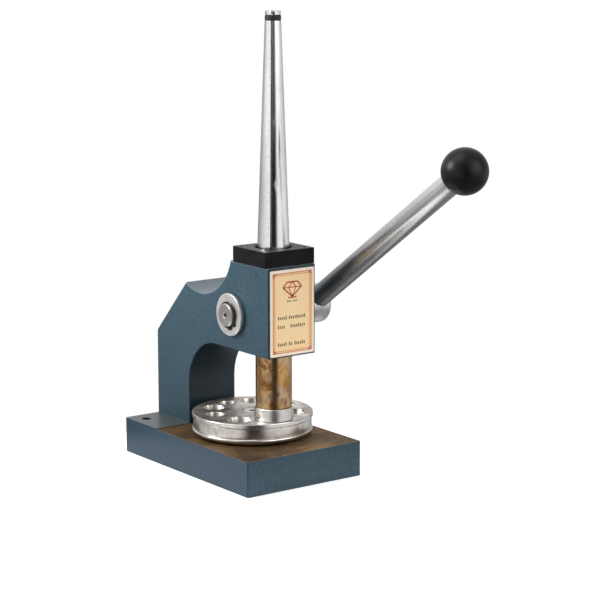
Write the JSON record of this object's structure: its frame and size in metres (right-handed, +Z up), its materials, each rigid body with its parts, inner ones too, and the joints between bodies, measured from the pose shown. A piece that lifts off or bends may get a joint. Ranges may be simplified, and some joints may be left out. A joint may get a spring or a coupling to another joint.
{
  "type": "ring stretcher and reducer",
  "caption": "Bench ring stretcher and reducer: iron frame, split tapered mandrel on top, lever-driven rack ram below it over a turning plate of conical dies.",
  "frame": {"origin": "centre of the base's underside", "axes": "+Z up along the mandrel, -Y towards the name plate and the user, +X towards the lever side"},
  "size_m": [0.1161, 0.285, 0.3337],
  "materials": {
    "casting_paint": "satin slate blue-grey paint on iron, with a bare milled face on the base",
    "black_steel": "satin black",
    "mandrel_chrome": "polished",
    "lever_chrome": "polished",
    "turned_steel": "fine turned",
    "die_steel": "turned and polished",
    "ram_steel": "tarnished brown, once polished",
    "dark_steel": "blackened",
    "ball_black": "satin black phenolic",
    "insert_brass": "machined",
    "band_black": "smooth black",
    "label_print": "printed cream metal plate",
    "zinc_steel": "bright zinc"
  },
  "bodies": {
    "frame": {"frame_casting": "casting_paint", "name_plate": "label_print", "mandrel_plate": "black_steel", "plate_screws": "dark_steel", "left_bush": "turned_steel", "die_spacer": "zinc_steel", "die_pivot_bolt": "dark_steel", "mandrel_band": "band_black", "mandrel_base_spring": "zinc_steel"},
    "lever": {"pinion_shaft": "turned_steel", "retaining_ring": "dark_steel", "lever_rod": "lever_chrome", "lever_set_screw": "dark_steel", "ball_knob": "ball_black", "ball_insert": "insert_brass"},
    "ram": {"rack_ram": "ram_steel", "press_foot": "turned_steel", "foot_screw": "dark_steel", "draw_bar": "turned_steel", "draw_bar_nut": "zinc_steel"},
    "die": {"die_plate": "die_steel"},
    "mandrel_1": {"mandrel_segment_1": "mandrel_chrome"},
    "mandrel_2": {"mandrel_segment_2": "mandrel_chrome"},
    "mandrel_3": {"mandrel_segment_3": "mandrel_chrome"},
    "mandrel_4": {"mandrel_segment_4": "mandrel_chrome"}
  },
  "joints": [
    {"name": "lever_turn", "type": "hinge", "parent": "frame", "child": "lever", "pos_m": [0, -0.0208, 0.1178], "axis": [-1, 0, 0], "range_deg": [0, 115]},
    {"name": "ram_slide", "type": "slide", "parent": "frame", "child": "ram", "axis": [0, 0, 1], "range_m": [0, 0.0241]},
    {"name": "die_plate_turn", "type": "hinge", "parent": "frame", "child": "die", "pos_m": [0.0021, -0.0124, 0.0422], "axis": [0, 0, 1], "continuous": true},
    {"name": "segment_1_slide", "type": "slide", "parent": "frame", "child": "mandrel_1", "axis": [-1, 0, 0], "range_m": [0, 0.000245]},
    {"name": "segment_2_slide", "type": "slide", "parent": "frame", "child": "mandrel_2", "axis": [0, -1, 0], "range_m": [0, 0.000245]},
    {"name": "segment_3_slide", "type": "slide", "parent": "frame", "child": "mandrel_3", "axis": [1, 0, 0], "range_m": [0, 0.000245]},
    {"name": "segment_4_slide", "type": "slide", "parent": "frame", "child": "mandrel_4", "axis": [0, 1, 0], "range_m": [0, 0.000245]}
  ],
  "couplings": [
    {"joint": "ram_slide", "follows": "lever_turn", "m_per_rad": 0.012},
    {"joint": "segment_1_slide", "follows": "lever_turn", "m_per_rad": 0.00012},
    {"joint": "segment_2_slide", "follows": "lever_turn", "m_per_rad": 0.00012},
    {"joint": "segment_3_slide", "follows": "lever_turn", "m_per_rad": 0.00012},
    {"joint": "segment_4_slide", "follows": "lever_turn", "m_per_rad": 0.00012}
  ]
}
